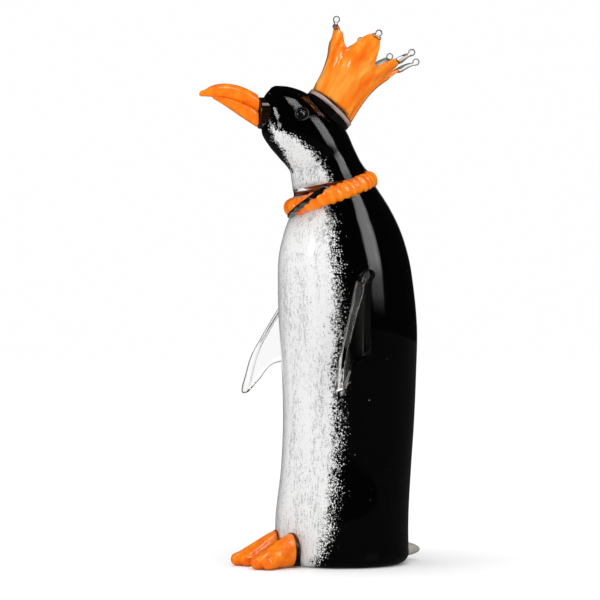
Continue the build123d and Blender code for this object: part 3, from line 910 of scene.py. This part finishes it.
# %% [markdown]
# ## Crown
# The crown is an orange cup opened with a flame, cut into six points that were pulled out one by
# one, and each ends in a clear bead. It is grown like that here: the cup is drawn up ring by ring,
# its top is set in to leave a wall, the hollow is pushed down, and then each point's stretch of the
# rim is drawn up alone and narrowed. The crown is turned so that the point in work faces one way.
# Narrowing a bowed stretch of wall deepens its bow, and that gives each point its flute.

# %% Crown cup
crown_high, crown_base, crown_flare, crown_wall, bead_radius = 51.0, 15.2, 34.5, 2.6, 2.2
# The cup's wall: rise and how far it has flared. The hollow: rise and its radius in mm.
cup_shares = [(-0.12, 0), (0.14, 0), (0.31, 0.03), (0.51, 0.15), (0.64, 0.3)]
hollow_rows = [(0.52, 15.8), (0.4, 10.8), (0.28, 6.3), (0.236, 1.0)]
cup_rows = [(crown_base + wide * (crown_flare - crown_base), rise * crown_high) for rise, wide in cup_shares]
rim_radius, rim_rise = cup_rows[-1]
notch = 0.035  # half the gap between the roots of two points, in radians
point_steps, point_bow, thinnest = 7, 1.25, 0.3
# The orange's last step: how much further it goes, and how narrow and thin it leaves the end.
end_step, end_width, end_depth = 0.04, 0.7, 0.6
# Each point: its direction in degrees, its reach and height as shares, where its orange ends, and
# its taper, the share of its root's width at each of the stations.
taper_stations = (0.3, 0.6, 0.85, 1)
slim, full = (0.62, 0.36, 0.2, 0.1), (0.84, 0.66, 0.4, 0.16)
crown_points = [
    (-74, 0.81, 0.885, 0.79, (0.64, 0.48, 0.34, 0.16)), (-5, 0.76, 0.95, 0.9, full),
    (48, 0.88, 0.995, 0.83, slim), (93, 0.92, 1.015, 0.8, slim), (140, 0.86, 0.98, 0.76, slim),
    (190, 0.53, 0.93, 0.76, (0.62, 0.38, 0.22, 0.12))]


def choose_faces(piece, wanted):
    """Selects the faces whose centre and normal pass a test."""
    bpy.ops.mesh.select_all(action="DESELECT")
    to_objects()
    count = 0
    for face in piece.data.polygons:
        face.select = wanted(face.center / MM, face.normal)
        count += face.select
    bpy.ops.object.mode_set(mode="EDIT")
    return count


def point_spot(point, way):
    """Distance from the crown's axis and height, part of the way from the rim to the bead."""
    reach, rise = point[1] * crown_flare, point[2] * crown_high
    out = rim_radius + (reach - rim_radius) * way ** point_bow - crown_wall / 2
    return out, rim_rise + (rise - rim_rise) * way


def point_width(point, way):
    """Share of the root's width, part of the way up."""
    line = smooth_rows([(0, 1), *zip(taper_stations, point[4])], 8)
    return min(line, key=lambda row: abs(row[0] - way))[1]


def orange_end(point):
    """The part of the way at which a point's orange ends."""
    return (point[3] * crown_high - rim_rise) / (point[2] * crown_high - rim_rise)


cup = start_disc("Coronet_cup", crown_base * MM, 120)
wall_rows = smooth_rows(cup_rows, 3)
move((0, 0, wall_rows[0][1] * MM))
for before, after in zip(wall_rows, wall_rows[1:]):
    size = after[0] / before[0]
    push((0, 0, (after[1] - before[1]) * MM), (size, size, 1), (0, 0, after[1] * MM))
bpy.ops.mesh.inset(thickness=crown_wall * MM)
radius, height = rim_radius - crown_wall, rim_rise
for share, new in hollow_rows:
    size, floor_rise = new / radius, share * crown_high
    push((0, 0, (floor_rise - height) * MM), (size, size, 1), (0, 0, floor_rise * MM))
    radius, height = new, floor_rise
turns = [crown_points[-1][0] - 360] + [point[0] for point in crown_points] + [crown_points[0][0] + 360]
for point, before, after in zip(crown_points, turns, turns[2:]):
    low, high = (before + point[0]) / 2, (point[0] + after) / 2
    middle, reach = (low + high) / 2, radians(high - low) / 2 - notch
    select_all()
    tip(-middle, "Z")
    count = choose_faces(cup, lambda c, n: n.z > 0.9 and abs(c.z - rim_rise) < 0.3 and c.xy.length
                         > rim_radius - crown_wall and abs(Vector((1, 0)).angle_signed(c.xy)) < reach)
    spot, width, deep = Vector((rim_radius - crown_wall / 2, 0, rim_rise)), 1.0, 1.0
    last_way = orange_end(point)
    ways = [last_way * step / point_steps for step in range(1, point_steps + 1)]
    ways.append(min(last_way + end_step, 0.97))
    for step, way in enumerate(ways):
        out, up = point_spot(point, way)
        new = point_width(point, way)
        turn = radians(point[0] - middle) * (1 - new)
        target = Vector((out * cos(turn), out * sin(turn), up))
        new_deep = thinnest + (1 - thinnest) * new
        if step == len(ways) - 1:
            new, new_deep = new * end_width, new_deep * end_depth
        push((target - spot) * MM, (new_deep / deep, new / width, 1), target * MM)
        spot, width, deep = target, new, new_deep
    select_all()
    tip(middle, "Z")
    print("point at", point[0], "from", count, "faces")
cut_flat(crown_place.inverted() @ crown_seat, clear_inner=True)
finish_piece(cup, orange_crown, ["crown_cup"], crown_place, levels=1, sharp=60)

# %% [markdown]
# The clear ends start as a sleeve inside the orange, come out of it where the colour was pulled
# thin, and end in a bead that gathered by itself in the flame. They could be bent cones with
# spheres on them. Each is one oval drawn along its point's own line instead, so that it leaves the
# orange in the right direction and no seam shows under the bead.

# %% Crown tips
tip_half_wide, tip_least, tip_neck, neck_below = 0.42 * rim_radius, 1.6, (1.7, 1.8), 0.6
# The sleeve's sections: how far past the end of the orange, and their share of the point's size.
sleeve_steps, least_stretch = [(-0.05, 0.55), (0.02, 0.95), (0.08, 1.05)], 0.12


def grow_tip(point):
    """A clear end: its sleeve, a slim neck where there is room for one, and its bead."""
    last_way = orange_end(point)
    rows = []
    for past, more in sleeve_steps:
        out, up = point_spot(point, last_way + past)
        wide = max(tip_half_wide * point_width(point, last_way + past), tip_least)
        rows.append((out, 0, up, (0.7 + 0.35 * wide) * more, wide * more))
    neck_way = 1 - (bead_radius + neck_below) / (point[2] * crown_high - rim_rise)
    if neck_way > last_way + least_stretch:
        out, up = point_spot(point, neck_way)
        rows.append((out, 0, up, *tip_neck))
    out, up = point_spot(point, 1.0)
    for degrees in (-40, -10, 20, 50, 75, 87):
        round_off = cos(radians(degrees)) * bead_radius
        rows.append((out, 0, up + bead_radius * sin(radians(degrees)), round_off, round_off))
    piece = oval_piece("Coronet_tips", smooth_rows(rows, 2), 20)
    to_objects()
    settle(piece, turned("Z", point[0]))
    return piece


tips = join([grow_tip(point) for point in crown_points], "Coronet_tips")
finish_piece(tips, drawn_glass, ["crown_tips"], crown_place, levels=1)
dress(["crown_joint"], crown_band)

# %% [markdown]
# ## Flippers
# Each flipper is a clear bit that was laid on the side, pulled forward, and pinched flat in the
# middle, so a thick rim runs round a thin web. The rim is a round bar that is drawn along the
# outline, and the web grows like the bill, from flat sections. A voxel remesh melts the two into
# one piece, because a wall of glass inside the glass would show.

# %% Flippers
flipper_reach, flipper_top, flipper_tip = 38.5, 178.0, 98.0
flipper_angle, flipper_swing = 75.0, 53.0
melt_grain = 0.5
# The web: how far out, its upper and lower edge as shares of the drop, and half its thickness in mm.
flipper_shares = [
    (-0.16, 0.95, 0.37, 3.4), (0.08, 0.92, 0.32, 2.2), (0.23, 0.8, 0.3, 1.5), (0.44, 0.65, 0.28, 1.2),
    (0.65, 0.48, 0.18, 1.1), (0.8, 0.33, 0.08, 1.1), (0.9, 0.16, 0.03, 1.1)]
# The rim in two bars, front edge and lower edge, from the shoulder to the tip: lift, out, radius.
front_rim = [
    (172.6, -6, 4.4), (170.6, 3, 3.8), (161.2, 8.4, 3.2), (149.3, 15.8, 2.8), (136.4, 23.6, 2.6),
    (125.4, 29.6, 2.5), (111, 33.9, 2.5), (104.4, 35.5, 2.7), (102, 36, 2.3), (100.6, 36.2, 1.4),
    (100.2, 36.3, 0.5)]
lower_rim = [
    (127.6, -6, 3.0), (123.6, 3, 2.3), (122.4, 9, 1.9), (120.2, 17, 1.8), (112.6, 25, 1.9), (105, 31, 2.1),
    (103.2, 33.6, 2.1), (102.6, 34.6, 1.4), (102.4, 35, 0.5)]


def bar_piece(name, rows, sides):
    """Draws a round bar along a bent line in the plane of lift and out: lift, out and radius."""
    piece = start_disc(name, rows[0][2] * MM, sides)
    headings = []
    for i, row in enumerate(rows):
        before, after = rows[max(i - 1, 0)], rows[min(i + 1, len(rows) - 1)]
        headings.append(Vector((0, 1)).angle_signed(Vector((after[0] - before[0], after[1] - before[1])), 0))
    turned_by = 0.0
    for i, row in enumerate(rows):
        centre = Vector((0, row[0], row[1])) * MM
        if i == 0:
            move(centre)
        else:
            size = row[2] / rows[i - 1][2]
            push(centre - Vector((0, rows[i - 1][0], rows[i - 1][1])) * MM, (size, size, size), centre)
        change = (headings[i] - turned_by + pi) % (2 * pi) - pi
        tip(change * 180 / pi, "X", centre)
        turned_by = headings[i]
    to_objects()
    return piece


def melt(pieces, name, softness):
    """Joins pieces and melts them into one skin."""
    piece = join(pieces, name)
    edit_all()
    bpy.ops.mesh.normals_make_consistent(inside=False)
    to_objects()
    modify(piece, "REMESH", mode="VOXEL", voxel_size=melt_grain * MM)
    modify(piece, "SMOOTH", factor=0.5, iterations=softness)
    return piece


def grow_flipper(name, side, node):
    drop = flipper_top - flipper_tip
    root = turned("Z", side * flipper_angle) @ shift(0, -torso_radius, 0) @ turned("Z", -side * flipper_angle)
    blade = shift(0, torso_sway, 0) @ root @ turned("Z", side * (90 - flipper_swing)) @ turned("X", 90)
    rows = [
        (0, flipper_tip + (high + low) / 2 * drop, out * flipper_reach, wide, (high - low) / 2 * drop)
        for out, high, low, wide in flipper_shares]
    web = oval_piece(name, smooth_rows(rows, 3), 24, flat=True)
    to_objects()
    bars = [bar_piece(name + "_rim", smooth_rows(rim, 4), 20) for rim in (front_rim, lower_rim)]
    finish_piece(melt([web] + bars, name, 8), drawn_glass, [node], blade)


grow_flipper("Flipper_left", 1, "flipper_left")
grow_flipper("Flipper_right", -1, "flipper_right")

# %% [markdown]
# ## Feet
# One orange bit was pressed on under the front and cut into three toes with shears while soft.
# Three toes are grown from ovals and joined, and a voxel remesh melts them together. A boolean
# union would join them too, but it leaves a sharp crease where the real toes run into each other.

# %% Feet
base_radius = torso_shares[0][2] * torso_radius
foot_length, instep_high, instep_wide, toe_radius, toe_slim = 29.0, 21.0, 13.0, 4.0, 0.95
foot_angle, foot_toe_out, toe_fan, side_toe_share = 15.0, 7.5, 16.0, 0.9
# A toe's sections: how far out, rise, half width and half height.
toe_shares = [
    (-0.2, 0.5, 0.46, 0.48), (0.07, 0.49, 0.44, 0.47), (0.35, 0.4, 0.37, 0.37), (0.62, 0.29, 0.33, 0.27)]


def grow_toe(name, length, turn):
    rows = [
        (0, rise * instep_high, out * length, wide * instep_wide, high * instep_high)
        for out, rise, wide, high in toe_shares]
    for degrees in (0, 30, 60, 80):
        round_off = cos(radians(degrees)) * toe_radius
        out = length - toe_radius * (1 - sin(radians(degrees)))
        rows.append((0, toe_radius, out, round_off * toe_slim, round_off))
    piece = oval_piece(name, smooth_rows(rows, 3), 24)
    to_objects()
    settle(piece, turned("Z", turn) @ turned("X", 90))
    return piece


def grow_foot(name, side, node):
    place = turned("Z", side * foot_angle) @ shift(0, -base_radius, 0)
    place = place @ turned("Z", side * (foot_toe_out - foot_angle))
    toes = [grow_toe(name + "_middle", foot_length, 0)]
    for turn in (-toe_fan, toe_fan):
        toes.append(grow_toe(name + "_side", side_toe_share * foot_length, turn))
    piece = melt(toes, name, 6)
    edit_all()
    bpy.ops.mesh.bisect(plane_co=(0, MM, 0), plane_no=(0, 1, 0), use_fill=True, clear_outer=True)
    finish_piece(piece, orange_open, [node], place)


grow_foot("Foot_left", 1, "foot_left")
grow_foot("Foot_right", -1, "foot_right")
dress(["foot_joint_left", "foot_joint_right", "tail_joint"], seat_glass)

# %% [markdown]
# ## Tail
# The tail is a clear stub on a dark ring, just above the ground edge at the back. The ring is the
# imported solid. The stub hardly shows, so a few ovals drawn out to a blunt end are enough for it.

# %% Tail
tail_rise = 6.6
tail_rows = [
    (0, 0, 1.2, 6.0, 4.7), (0, 0, 5.0, 5.2, 4.0), (0, 0.2, 9.0, 3.8, 3.0), (0, 0.4, 11.4, 2.4, 1.9),
    (0, 0.5, 12.7, 1.0, 0.8)]
tail = oval_piece("Tail", smooth_rows(tail_rows, 3), 24)
tail_place = shift(0, base_radius, tail_rise) @ turned("X", -90)
finish_piece(tail, tail_glass, ["tail"], tail_place, levels=1)
